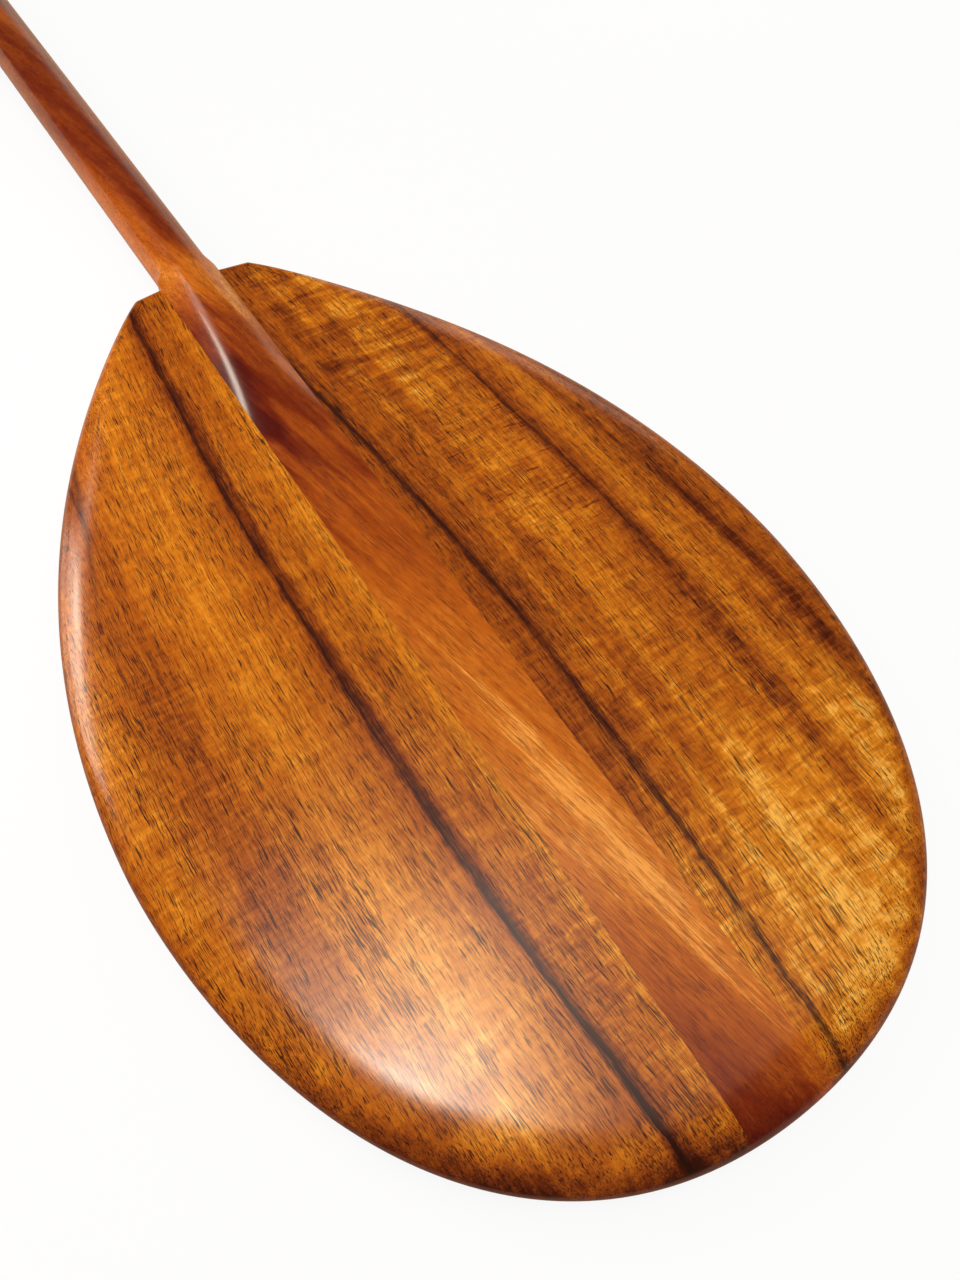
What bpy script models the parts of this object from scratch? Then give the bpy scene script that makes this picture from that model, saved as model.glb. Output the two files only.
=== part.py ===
"""Outrigger canoe paddle with a round teardrop blade.

One straight stave is the shaft and, inside the blade, its spine. A board is glued to each side of
the spine. A turned crossbar is tenoned and pegged onto the top end.

Everything is modelled from the blade's tip: x across, y up the shaft, z from the blade's middle plane.
"""

import math

import bmesh
import bpy
from mathutils import Vector

# Lengths along the paddle, in metres from the tip
OVERALL_LENGTH = 1.524
BLADE_LENGTH = 0.506
WIDEST_STATION = 0.207
FAIRING_LENGTH = 0.200
NECK_BLEND = 0.014

# Blade outline, one half: two curves, a rounded corner and a straight shoulder
BLADE_HALF_WIDTH = 0.165
TIP_FULLNESS = 0.144
LOWER_FULLNESS = 0.055
UPPER_FULLNESS = 0.176
CORNER_HALF_WIDTH = 0.0347
SHOULDER_DROP = 0.0022
CORNER_EASE = 0.0031

# Blade thickness and the rounding of its edge
BLADE_THICKNESS = 0.014
EDGE_ROUND_WIDTH = 0.024
SHOULDER_ROUND_WIDTH = 0.005
ROUND_NARROWS_FROM = 0.400

# Stave: a round shaft, flat sided between the boards
SHAFT_RADIUS = 0.016
SPINE_HALF_WIDTH_AT_NECK = 0.0172
SPINE_HALF_WIDTH_AT_TIP = 0.0188
SPINE_OFFSET_AT_TIP = -0.005
SPINE_OFFSET_AT_NECK = -0.001

# Grip: crossbar, tenon and peg
GRIP_RADIUS = 0.016
GRIP_LENGTH = 0.124
GRIP_STRAIGHT_LENGTH = 0.060
GRIP_END_RADIUS = 0.0125
GRIP_END_ROUNDING = 0.007
TENON_RADIUS = 0.010
TENON_DEPTH = 0.024
TENON_ROOT = 0.030
PEG_RADIUS = 0.003
PEG_CHAMFER = 0.0004

# Gap left between pieces that are glued or seated, and how far a cutter goes past what it cuts
CLEARANCE = 0.0003
CUTTER_OVERRUN = 0.016

# Fineness of the surfaces
TIP_CURVE_STEPS = 30
NECK_CURVE_STEPS = 26
CORNER_STEPS = 4
SHOULDER_STEPS = 3
ROUND_STEPS = 7
DOME_STEPS = 14
SIDE_STEPS = 4
FLAT_STEPS = 4
FAIRING_STEPS = 12
BLEND_STEPS = 6
SHAFT_STEPS = 8
TURNED_STEPS = 32
GRIP_TAPER_STEPS = 6
GRIP_ROUND_STEPS = 6
PEG_CHAMFER_STEPS = 2
TIP_HALVINGS = 40
MERGE_DISTANCE = 0.00001
SHARP_ANGLE = math.radians(35.0)

HALF_THICKNESS = BLADE_THICKNESS / 2.0
GRIP_STATION = OVERALL_LENGTH - GRIP_RADIUS
FAIRING_END = BLADE_LENGTH - FAIRING_LENGTH

# Wood colours, roughness under the varnish
KOA_LEFT_COLOR = (0.46, 0.19, 0.045)
KOA_RIGHT_COLOR = (0.43, 0.175, 0.042)
RED_WOOD_COLOR = (0.30, 0.075, 0.022)
PEG_COLOR = (0.12, 0.045, 0.02)
VARNISH_ROUGHNESS = 0.22
PEG_ROUGHNESS = 0.35

TIP_CURVE = (
    Vector((0.0, 0.0)),
    Vector((TIP_FULLNESS, 0.0)),
    Vector((BLADE_HALF_WIDTH, WIDEST_STATION - LOWER_FULLNESS)),
    Vector((BLADE_HALF_WIDTH, WIDEST_STATION)),
)


def lerp(start, end, t):
    """Value at t on the straight way from start to end."""
    return start + (end - start) * t


def smooth_step(value, low, high):
    """0 below low, 1 above high and an S-curve between them."""
    t = min(max((value - low) / (high - low), 0.0), 1.0)
    return t * t * (3.0 - 2.0 * t)


def cubic_point(points, t):
    """Point at t on the cubic curve with these four control points."""
    u = 1.0 - t
    return (
        u * u * u * points[0]
        + 3.0 * u * u * t * points[1]
        + 3.0 * u * t * t * points[2]
        + t * t * t * points[3]
    )


def tip_curve_parameter(x):
    """Where the tip's curve is x away from the middle line, by halving."""
    low, high = 0.0, 1.0
    for _ in range(TIP_HALVINGS):
        middle = (low + high) / 2.0
        if cubic_point(TIP_CURVE, middle).x < x:
            low = middle
        else:
            high = middle
    return (low + high) / 2.0


def tip_station(x):
    """How far the tip's edge has drawn back at x from the middle line."""
    return cubic_point(TIP_CURVE, tip_curve_parameter(abs(x))).y


def spine_half_width(station):
    """Half the width of the spine between its two glue lines."""
    return lerp(SPINE_HALF_WIDTH_AT_TIP, SPINE_HALF_WIDTH_AT_NECK, min(station / BLADE_LENGTH, 1.0))


def spine_centre(station):
    """The spine runs slightly off the middle line towards the tip."""
    return lerp(SPINE_OFFSET_AT_TIP, SPINE_OFFSET_AT_NECK, min(station / BLADE_LENGTH, 1.0))


def across_spine(share, station):
    """How far from the paddle's middle line a share of the spine's half width lies."""
    return spine_centre(station) + share * spine_half_width(station)


def glue_line_x(side, station):
    """Where a board's inner edge lies, one clearance away from the spine."""
    return spine_centre(station) + side * (spine_half_width(station) + CLEARANCE)


def board_outline(side):
    """Outline of one board as (x, station, rounding width), from the tip to the shaft.

    x is counted outwards from the middle line, the same way for both boards.
    """
    corner = Vector((CORNER_HALF_WIDTH, BLADE_LENGTH - SHOULDER_DROP))
    upper_handle = Vector((BLADE_HALF_WIDTH, WIDEST_STATION + UPPER_FULLNESS))
    shoulder_end = Vector((side * glue_line_x(side, BLADE_LENGTH), BLADE_LENGTH))
    before_corner = corner + CORNER_EASE * (upper_handle - corner).normalized()
    after_corner = corner + CORNER_EASE * (shoulder_end - corner).normalized()
    neck_curve = (TIP_CURVE[3], upper_handle, before_corner, before_corner)
    corner_curve = (before_corner, corner, corner, after_corner)

    start = tip_curve_parameter(side * glue_line_x(side, 0.0))
    points = [cubic_point(TIP_CURVE, lerp(start, 1.0, i / TIP_CURVE_STEPS)) for i in range(TIP_CURVE_STEPS)]
    points += [cubic_point(neck_curve, i / NECK_CURVE_STEPS) for i in range(NECK_CURVE_STEPS)]
    points += [cubic_point(corner_curve, i / CORNER_STEPS) for i in range(CORNER_STEPS)]
    points += [lerp(after_corner, shoulder_end, i / SHOULDER_STEPS) for i in range(SHOULDER_STEPS + 1)]
    outline = []
    for point in points:
        narrowing = smooth_step(point.y, ROUND_NARROWS_FROM, before_corner.y)
        outline.append((point, lerp(EDGE_ROUND_WIDTH, SHOULDER_ROUND_WIDTH, narrowing)))
    return outline


def inward_normal(outline, i):
    """Direction into the blade at a point of its outline."""
    before = outline[max(i - 1, 0)][0]
    after = outline[min(i + 1, len(outline) - 1)][0]
    along = (after - before).normalized()
    return Vector((-along.y, along.x))


def rounding(step):
    """Share of the rounding's width gone, and of the half thickness reached, at one of its steps."""
    angle = math.pi / 2.0 * step / ROUND_STEPS
    return 1.0 - math.cos(angle), math.sin(angle)


def finish_mesh(name, bm):
    """Turn a bmesh into a mesh with its faces pointing out and its round surfaces smooth."""
    bmesh.ops.recalc_face_normals(bm, faces=bm.faces)
    mesh = bpy.data.meshes.new(name)
    bm.to_mesh(mesh)
    bm.free()
    mesh.shade_smooth()
    mesh.set_sharp_from_angle(angle=SHARP_ANGLE)
    return mesh


def wood_material(name, color, roughness):
    """Varnished wood."""
    material = bpy.data.materials.new(name)
    material.use_nodes = True
    shader = material.node_tree.nodes["Principled BSDF"]
    shader.inputs["Base Color"].default_value = (*color, 1.0)
    shader.inputs["Roughness"].default_value = roughness
    shader.inputs["Metallic"].default_value = 0.0
    material.diffuse_color = (*color, 1.0)
    return material


def add_part(name, mesh, material, collection, parent):
    """Link one piece under the paddle's frame."""
    mesh.materials.clear()
    mesh.materials.append(material)
    part = bpy.data.objects.new(name, mesh)
    part.parent = parent
    collection.objects.link(part)
    return part


def cut_with(part, cutter, operation="DIFFERENCE"):
    """Cut a piece with a cutter that keeps its place."""
    modifier = part.modifiers.new(cutter.name, "BOOLEAN")
    modifier.operation = operation
    modifier.solver = "EXACT"
    modifier.object = cutter
    return modifier


def cylinder_mesh(name, radius, length):
    """Closed cylinder about its own z axis, centred on the origin."""
    bm = bmesh.new()
    bmesh.ops.create_cone(
        bm, cap_ends=True, segments=TURNED_STEPS, radius1=radius, radius2=radius, depth=length
    )
    return finish_mesh(name, bm)


def add_cutter(name, mesh, collection, parent):
    """Link a cutter, shown as wires only."""
    cutter = bpy.data.objects.new(name, mesh)
    cutter.parent = parent
    cutter.display_type = "WIRE"
    cutter.hide_render = True
    collection.objects.link(cutter)
    return cutter


def blade_board_mesh(name, side):
    """One board: a flat on each face, an elliptical round-over to the edge and a straight glued side."""
    outline = board_outline(side)
    last = len(outline) - 1
    bm = bmesh.new()

    def ring_point(i, step, face):
        point, width = outline[i]
        gone, risen = rounding(step)
        inner = point + inward_normal(outline, i) * (width * gone)
        x = side * inner.x
        if i in (0, last):
            x = glue_line_x(side, inner.y)
        return bm.verts.new((x, inner.y, face * HALF_THICKNESS * risen))

    edge = [ring_point(i, 0, 1) for i in range(last + 1)]
    rings_of = {}
    for face in (1, -1):
        rings = [edge]
        for step in range(1, ROUND_STEPS + 1):
            ring = [ring_point(i, step, face) for i in range(last + 1)]
            for i in range(last):
                bm.faces.new((rings[-1][i], rings[-1][i + 1], ring[i + 1], ring[i]))
            rings.append(ring)
        bm.faces.new(rings[-1])
        rings_of[face] = rings

    top_side = [ring[0] for ring in rings_of[1]]
    top_side += [ring[last] for ring in reversed(rings_of[1])]
    bottom_side = [ring[last] for ring in rings_of[-1][1:]]
    bottom_side += [ring[0] for ring in reversed(rings_of[-1][1:])]
    bm.faces.new(top_side + bottom_side)
    return finish_mesh(name, bm)


def spine_section(station, height):
    """Section in the blade: flat sides at the glue lines and a low dome on each face."""
    top = []
    for j in range(DOME_STEPS + 1):
        angle = math.pi * j / DOME_STEPS
        risen = math.sin(angle) ** 2
        top.append((across_spine(math.cos(angle), station), HALF_THICKNESS + height * risen))
    sides = [lerp(HALF_THICKNESS, -HALF_THICKNESS, k / SIDE_STEPS) for k in range(1, SIDE_STEPS)]
    left = [(across_spine(-1.0, station), z) for z in sides]
    bottom = [(x, -z) for x, z in reversed(top)]
    right = [(across_spine(1.0, station), -z) for z in sides]
    return top + left + bottom + right


def shaft_section():
    """Round section, its points matched to those of the section in the blade."""
    start = math.asin(HALF_THICKNESS / SHAFT_RADIUS)
    angles = [lerp(start, math.pi - start, j / DOME_STEPS) for j in range(DOME_STEPS + 1)]
    angles += [lerp(math.pi - start, math.pi + start, k / SIDE_STEPS) for k in range(1, SIDE_STEPS)]
    angles += [lerp(math.pi + start, 2.0 * math.pi - start, j / DOME_STEPS) for j in range(DOME_STEPS + 1)]
    angles += [lerp(-start, start, k / SIDE_STEPS) for k in range(1, SIDE_STEPS)]
    return [(SHAFT_RADIUS * math.cos(a), SHAFT_RADIUS * math.sin(a)) for a in angles]


def dome_height(station):
    """Height of the stave's dome over the blade's face: full at the neck, gone at the fairing's end."""
    return (SHAFT_RADIUS - HALF_THICKNESS) * smooth_step(station, FAIRING_END, BLADE_LENGTH)


def stave_sections():
    """Every section of the stave from behind its rounded tip to the crossbar's axis."""
    sections = []
    flat_start = tip_station(spine_half_width(0.0) - SPINE_OFFSET_AT_TIP) + EDGE_ROUND_WIDTH
    stations = [lerp(flat_start, FAIRING_END, i / FLAT_STEPS) for i in range(1, FLAT_STEPS)]
    stations += [lerp(FAIRING_END, BLADE_LENGTH, i / FAIRING_STEPS) for i in range(FAIRING_STEPS + 1)]
    for station in stations:
        sections.append((station, spine_section(station, dome_height(station))))
    round_section = shaft_section()
    neck_section = spine_section(BLADE_LENGTH, dome_height(BLADE_LENGTH))
    for i in range(1, BLEND_STEPS + 1):
        station = BLADE_LENGTH + NECK_BLEND * i / BLEND_STEPS
        share = smooth_step(i, 0, BLEND_STEPS)
        section = [
            (lerp(x0, x1, share), lerp(z0, z1, share))
            for (x0, z0), (x1, z1) in zip(neck_section, round_section)
        ]
        sections.append((station, section))
    shaft_start = BLADE_LENGTH + NECK_BLEND
    for i in range(1, SHAFT_STEPS + 1):
        sections.append((lerp(shaft_start, GRIP_STATION, i / SHAFT_STEPS), round_section))
    return sections


def stave_mesh(name):
    """Tip, spine, neck and shaft as one loft; the crossbar's seat and tenon are cut and added later."""
    bm = bmesh.new()
    flat = spine_section(0.0, 0.0)
    shares = [(x - spine_centre(0.0)) / spine_half_width(0.0) for x, _ in flat]

    def tip_vertex(share, z, inset):
        station = tip_station(across_spine(share, 0.0)) + inset
        return bm.verts.new((across_spine(share, station), station, z))

    edge = [tip_vertex(share, 0.0, 0.0) for share in shares[: DOME_STEPS + 1]]
    rings = []
    for step in range(1, ROUND_STEPS + 1):
        gone, risen = rounding(step)
        inset = EDGE_ROUND_WIDTH * gone
        ring = [tip_vertex(share, z * risen, inset) for share, (_, z) in zip(shares, flat)]
        rings.append(ring)
    for station, section in stave_sections():
        rings.append([bm.verts.new((x, station, z)) for x, z in section])

    count = len(flat)
    for lower, upper in zip(rings, rings[1:]):
        for j in range(count):
            k = (j + 1) % count
            bm.faces.new((lower[j], lower[k], upper[k], upper[j]))
    bm.faces.new(rings[-1])

    first = rings[0]
    bottom_start = DOME_STEPS + SIDE_STEPS
    bottom_end = bottom_start + DOME_STEPS
    for j in range(DOME_STEPS):
        bm.faces.new((edge[j], edge[j + 1], first[j + 1], first[j]))
        bm.faces.new((edge[j], edge[j + 1], first[bottom_end - j - 1], first[bottom_end - j]))
    for j in range(DOME_STEPS, bottom_start):
        bm.faces.new((edge[-1], first[j], first[j + 1]))
    for j in range(bottom_end, count):
        bm.faces.new((edge[0], first[j], first[(j + 1) % count]))
    return finish_mesh(name, bm)


def crossbar_profile():
    """Half outline of the turned crossbar, from one end to the other, as (along, radius)."""
    half = GRIP_LENGTH / 2.0
    half_straight = GRIP_STRAIGHT_LENGTH / 2.0
    end_start = half - GRIP_END_ROUNDING
    points = [(0.0, GRIP_RADIUS), (half_straight, GRIP_RADIUS)]
    for i in range(1, GRIP_TAPER_STEPS + 1):
        along = lerp(half_straight, end_start, i / GRIP_TAPER_STEPS)
        points.append((along, lerp(GRIP_RADIUS, GRIP_END_RADIUS, smooth_step(i, 0, GRIP_TAPER_STEPS))))
    for i in range(1, GRIP_ROUND_STEPS):
        angle = math.pi / 2.0 * i / GRIP_ROUND_STEPS
        along = end_start + GRIP_END_ROUNDING * math.sin(angle)
        points.append((along, GRIP_END_RADIUS * math.cos(angle)))
    points.append((half, 0.0))
    return points


def crossbar_mesh(name):
    """Turned bar about its own x axis: the half profile is mirrored and screwed round."""
    half = crossbar_profile()
    profile = [(-along, radius) for along, radius in reversed(half[1:])] + half
    bm = bmesh.new()
    verts = [bm.verts.new((radius, 0.0, -along)) for along, radius in profile]
    for lower, upper in zip(verts, verts[1:]):
        bm.edges.new((lower, upper))
    mesh = bpy.data.meshes.new(name)
    bm.to_mesh(mesh)
    bm.free()
    return mesh


def turn(part):
    """Turn a profile about the piece's z axis."""
    screw = part.modifiers.new("turned", "SCREW")
    screw.axis = "Z"
    screw.angle = 2.0 * math.pi
    screw.steps = TURNED_STEPS
    screw.render_steps = TURNED_STEPS
    screw.use_merge_vertices = True
    screw.merge_threshold = MERGE_DISTANCE
    screw.use_smooth_shade = True


def build():
    """Make the paddle and link it to the scene."""
    for old in list(bpy.data.objects):
        bpy.data.objects.remove(old)

    paddle = bpy.data.collections.new("outrigger_canoe_paddle")
    cutters = bpy.data.collections.new("cutters")
    bpy.context.scene.collection.children.link(paddle)
    bpy.context.scene.collection.children.link(cutters)

    frame = bpy.data.objects.new("paddle_frame", None)
    frame.location = (0.0, -OVERALL_LENGTH / 2.0, SHAFT_RADIUS)
    paddle.objects.link(frame)

    red_wood = wood_material("red_hardwood", RED_WOOD_COLOR, VARNISH_ROUGHNESS)
    left_koa = wood_material("koa_left", KOA_LEFT_COLOR, VARNISH_ROUGHNESS)
    right_koa = wood_material("koa_right", KOA_RIGHT_COLOR, VARNISH_ROUGHNESS)
    grip_wood = wood_material("grip_hardwood", RED_WOOD_COLOR, VARNISH_ROUGHNESS)
    peg_wood = wood_material("peg_hardwood", PEG_COLOR, PEG_ROUGHNESS)

    add_part("left_blade_board", blade_board_mesh("left_board", -1), left_koa, paddle, frame)
    add_part("right_blade_board", blade_board_mesh("right_board", 1), right_koa, paddle, frame)
    stave = add_part("shaft_and_spine", stave_mesh("stave"), red_wood, paddle, frame)

    crossbar = add_part("grip_crossbar", crossbar_mesh("crossbar"), grip_wood, paddle, frame)
    crossbar.location = (0.0, GRIP_STATION, 0.0)
    crossbar.rotation_euler = (0.0, math.pi / 2.0, 0.0)
    turn(crossbar)

    seat_shape = cylinder_mesh("seat", GRIP_RADIUS + CLEARANCE, 2.0 * (SHAFT_RADIUS + CUTTER_OVERRUN))
    seat = add_cutter("crossbar_seat", seat_shape, cutters, frame)
    seat.location = crossbar.location
    seat.rotation_euler = crossbar.rotation_euler
    cut_with(stave, seat)

    tenon_end = GRIP_STATION - GRIP_RADIUS + TENON_DEPTH
    tenon_length = TENON_DEPTH + TENON_ROOT
    tenon = add_cutter("tenon", cylinder_mesh("tenon", TENON_RADIUS, tenon_length), cutters, frame)
    tenon.location = (0.0, tenon_end - tenon_length / 2.0, 0.0)
    tenon.rotation_euler = (math.pi / 2.0, 0.0, 0.0)
    cut_with(stave, tenon, "UNION")

    mortise_length = tenon_length + CLEARANCE
    mortise_shape = cylinder_mesh("mortise", TENON_RADIUS + CLEARANCE, mortise_length)
    mortise = add_cutter("mortise", mortise_shape, cutters, frame)
    mortise.location = (0.0, tenon_end + CLEARANCE - mortise_length / 2.0, 0.0)
    mortise.rotation_euler = tenon.rotation_euler
    cut_with(crossbar, mortise)

    hole_shape = cylinder_mesh("peg_hole", PEG_RADIUS + CLEARANCE, 2.0 * (GRIP_RADIUS + CUTTER_OVERRUN))
    peg_hole = add_cutter("peg_hole", hole_shape, cutters, frame)
    peg_hole.location = crossbar.location
    cut_with(stave, peg_hole)
    cut_with(crossbar, peg_hole)

    peg_shape = cylinder_mesh("peg", PEG_RADIUS, 2.0 * (GRIP_RADIUS - CLEARANCE))
    peg = add_part("grip_peg", peg_shape, peg_wood, paddle, frame)
    peg.location = crossbar.location
    eased_ends = peg.modifiers.new("eased_ends", "BEVEL")
    eased_ends.width = PEG_CHAMFER
    eased_ends.segments = PEG_CHAMFER_STEPS
    eased_ends.limit_method = "ANGLE"


build()
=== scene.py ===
import math

import bpy
from mathutils import Matrix, Vector


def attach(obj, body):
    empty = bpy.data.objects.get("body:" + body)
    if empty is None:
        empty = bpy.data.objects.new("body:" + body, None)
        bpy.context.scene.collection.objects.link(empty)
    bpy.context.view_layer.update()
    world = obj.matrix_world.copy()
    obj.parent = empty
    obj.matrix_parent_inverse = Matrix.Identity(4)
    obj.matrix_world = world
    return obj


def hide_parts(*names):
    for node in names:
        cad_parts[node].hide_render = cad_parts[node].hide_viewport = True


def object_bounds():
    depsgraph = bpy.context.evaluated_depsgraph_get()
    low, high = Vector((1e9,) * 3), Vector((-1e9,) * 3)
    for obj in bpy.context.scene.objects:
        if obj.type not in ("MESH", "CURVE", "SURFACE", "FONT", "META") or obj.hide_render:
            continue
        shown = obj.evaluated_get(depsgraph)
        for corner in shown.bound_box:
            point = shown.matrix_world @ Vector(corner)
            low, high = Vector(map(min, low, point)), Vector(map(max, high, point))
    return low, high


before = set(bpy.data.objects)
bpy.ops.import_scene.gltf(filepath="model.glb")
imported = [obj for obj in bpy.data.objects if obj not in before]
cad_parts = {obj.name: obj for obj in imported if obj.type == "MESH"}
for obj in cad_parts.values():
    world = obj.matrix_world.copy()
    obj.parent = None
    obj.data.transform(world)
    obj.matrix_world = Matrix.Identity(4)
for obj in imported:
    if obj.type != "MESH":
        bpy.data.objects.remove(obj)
cad_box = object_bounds()


# The stave is one length of red hardwood. It is the round shaft and, inside the blade, the spine.
# It is shaved round above the neck and planed flat between the boards, with a long dome on each
# face where the two meet. Its top end is coped to fit the crossbar and carries a tenon.
TIP = Vector(cad_box[0])
TOP = Vector(cad_box[1])
SHAFT_RADIUS = (TOP.z - TIP.z) / 2.0
BLADE_LENGTH = 0.506
WIDEST_STATION = 0.207
BLADE_HALF_WIDTH = TOP.x
TIP_FULLNESS = 0.144
LOWER_FULLNESS = 0.055
HALF_THICKNESS = 0.007
EDGE_ROUND_WIDTH = 0.024
FAIRING_LENGTH = 0.200
NECK_BLEND = 0.014
SPINE_HALF_WIDTH_AT_NECK = 0.0172
SPINE_HALF_WIDTH_AT_TIP = 0.0188
SPINE_OFFSET_AT_TIP = -0.005
SPINE_OFFSET_AT_NECK = -0.001
GRIP_RADIUS = 0.016
TIP_Y = -TOP.y
GRIP_STATION = TOP.y - TIP_Y - GRIP_RADIUS
PEG_RADIUS = 0.003
HALVINGS = 40
TENON_RADIUS = 0.010
TENON_DEPTH = 0.024
TENON_ROOT = 0.030
JOINT_GAP = 0.00005
MERGE_DISTANCE = 0.000002
CUTTER_OVERRUN = 0.016

DOME_COLUMNS = 48
SIDE_COLUMNS = 6
ROUND_ROWS = 16
FLAT_ROWS = 24
FAIRING_ROWS = 48
BLEND_ROWS = 16
SHAFT_ROWS = 24
TURNED_SIDES = 96
SMOOTH_ANGLE = math.radians(35.0)


def lerp(start, end, t):
    """Value at t on the straight way from start to end."""
    return start + (end - start) * t


def eased(value, low, high):
    """0 below low, 1 above high and an S-curve between them."""
    t = min(max((value - low) / (high - low), 0.0), 1.0)
    return t * t * (3.0 - 2.0 * t)


def cubic_point(points, t):
    """Point at t on the cubic curve with these four control points."""
    u = 1.0 - t
    return u**3 * points[0] + 3.0 * u * u * t * points[1] + 3.0 * u * t * t * points[2] + t**3 * points[3]


tip_curve = [
    Vector((0.0, 0.0)),
    Vector((TIP_FULLNESS, 0.0)),
    Vector((BLADE_HALF_WIDTH, WIDEST_STATION - LOWER_FULLNESS)),
    Vector((BLADE_HALF_WIDTH, WIDEST_STATION)),
]


def tip_curve_parameter(x):
    """Where the tip's curve is x away from the middle line, by halving."""
    low, high = 0.0, 1.0
    for _ in range(HALVINGS):
        middle = (low + high) / 2.0
        if cubic_point(tip_curve, middle).x < x:
            low = middle
        else:
            high = middle
    return (low + high) / 2.0


def tip_station(x):
    """How far the tip's edge has drawn back at x from the middle line."""
    return cubic_point(tip_curve, tip_curve_parameter(abs(x))).y


def spine_half_width(station):
    """Half the width of the spine between its two glue lines."""
    return lerp(SPINE_HALF_WIDTH_AT_TIP, SPINE_HALF_WIDTH_AT_NECK, min(station / BLADE_LENGTH, 1.0))


def spine_centre(station):
    """The spine runs slightly off the middle line towards the tip."""
    return lerp(SPINE_OFFSET_AT_TIP, SPINE_OFFSET_AT_NECK, min(station / BLADE_LENGTH, 1.0))


def spine_section(height):
    """Section in the blade as (share of the half width, z): flat sides and a dome on each face."""
    top = []
    for j in range(DOME_COLUMNS + 1):
        angle = math.pi * j / DOME_COLUMNS
        top.append((math.cos(angle), HALF_THICKNESS + height * math.sin(angle) ** 2))
    sides = [lerp(HALF_THICKNESS, -HALF_THICKNESS, k / SIDE_COLUMNS) for k in range(1, SIDE_COLUMNS)]
    left = [(-1.0, z) for z in sides]
    bottom = [(across, -z) for across, z in reversed(top)]
    right = [(1.0, -z) for z in sides]
    return top + left + bottom + right + top[:1]


def across_spine(share, station):
    """How far from the paddle's middle line a share of the spine's half width lies."""
    return spine_centre(station) + share * spine_half_width(station)


def shaft_section():
    """Round section, its points matched to those of the section in the blade."""
    start = math.asin(HALF_THICKNESS / SHAFT_RADIUS)
    angles = [lerp(start, math.pi - start, j / DOME_COLUMNS) for j in range(DOME_COLUMNS + 1)]
    angles += [lerp(math.pi - start, math.pi + start, k / SIDE_COLUMNS) for k in range(1, SIDE_COLUMNS)]
    angles += [a + math.pi for a in angles]
    angles += [start]
    return [(SHAFT_RADIUS * math.cos(a), SHAFT_RADIUS * math.sin(a)) for a in angles]


def dome_height(station):
    """Height of the stave's dome over the blade's face: full at the neck, gone at the fairing's end."""
    return (SHAFT_RADIUS - HALF_THICKNESS) * eased(station, BLADE_LENGTH - FAIRING_LENGTH, BLADE_LENGTH)


def stave_rows():
    """Every row of points round the stave, from its rounded tip to the crossbar's axis."""
    rows = []
    flat = spine_section(0.0)
    for step in range(ROUND_ROWS + 1):
        angle = math.pi / 2.0 * step / ROUND_ROWS
        inset = EDGE_ROUND_WIDTH * (1.0 - math.cos(angle))
        row = []
        for share, z in flat:
            station = tip_station(across_spine(share, 0.0)) + inset
            row.append(Vector((across_spine(share, station), station, z * math.sin(angle))))
        rows.append(row)
    fairing_end = BLADE_LENGTH - FAIRING_LENGTH
    flat_start = tip_station(across_spine(-1.0, 0.0)) + EDGE_ROUND_WIDTH
    stations = [lerp(flat_start, fairing_end, i / FLAT_ROWS) for i in range(1, FLAT_ROWS)]
    stations += [lerp(fairing_end, BLADE_LENGTH, i / FAIRING_ROWS) for i in range(FAIRING_ROWS + 1)]
    for station in stations:
        section = spine_section(dome_height(station))
        rows.append([Vector((across_spine(share, station), station, z)) for share, z in section])
    neck = rows[-1]
    for i in range(1, BLEND_ROWS + 1):
        share = eased(i, 0, BLEND_ROWS)
        station = BLADE_LENGTH + NECK_BLEND * i / BLEND_ROWS
        pairs = zip(neck, shaft_section())
        rows.append([Vector((lerp(p.x, x, share), station, lerp(p.z, z, share))) for p, (x, z) in pairs])
    for i in range(1, SHAFT_ROWS + 1):
        station = lerp(BLADE_LENGTH + NECK_BLEND, GRIP_STATION, i / SHAFT_ROWS)
        rows.append([Vector((x, station, z)) for x, z in shaft_section()])
    return rows


def in_frame(point):
    """A point counted from the tip and the blade's middle plane, as a point of the frame."""
    return Vector((point.x, point.y + TIP_Y, point.z + SHAFT_RADIUS))


def grid_over(name, rows):
    """Add a grid and lay it over a piece, each of its rows along one row of points."""
    bpy.ops.object.select_all(action="DESELECT")
    columns = len(rows[0]) - 1
    bpy.ops.mesh.primitive_grid_add(x_subdivisions=columns, y_subdivisions=len(rows) - 1, size=1.0)
    piece = bpy.context.object
    piece.name = name
    piece.data.name = name
    for vertex in piece.data.vertices:
        column = round((vertex.co.x + 0.5) * columns)
        row = round((vertex.co.y + 0.5) * (len(rows) - 1))
        vertex.co = in_frame(rows[row][column])
    bpy.ops.object.mode_set(mode="EDIT")
    bpy.ops.mesh.select_all(action="SELECT")
    bpy.ops.mesh.remove_doubles(threshold=MERGE_DISTANCE)
    bpy.ops.object.mode_set(mode="OBJECT")
    return piece


def close_holes(piece):
    """Fill every open loop of edges and turn all faces outwards."""
    bpy.context.view_layer.objects.active = piece
    bpy.ops.object.mode_set(mode="EDIT")
    bpy.ops.mesh.select_mode(type="EDGE")
    bpy.ops.mesh.select_all(action="DESELECT")
    bpy.ops.mesh.select_non_manifold()
    bpy.ops.mesh.edge_face_add()
    bpy.ops.mesh.select_all(action="SELECT")
    bpy.ops.mesh.normals_make_consistent(inside=False)
    bpy.ops.object.mode_set(mode="OBJECT")


def rod(name, radius, length, centre, turn):
    """A plain rod, to cut with or to join on."""
    bpy.ops.object.select_all(action="DESELECT")
    bpy.ops.mesh.primitive_cylinder_add(
        vertices=TURNED_SIDES, radius=radius, depth=length, location=in_frame(centre), rotation=turn
    )
    bpy.context.object.name = name
    return bpy.context.object


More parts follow.
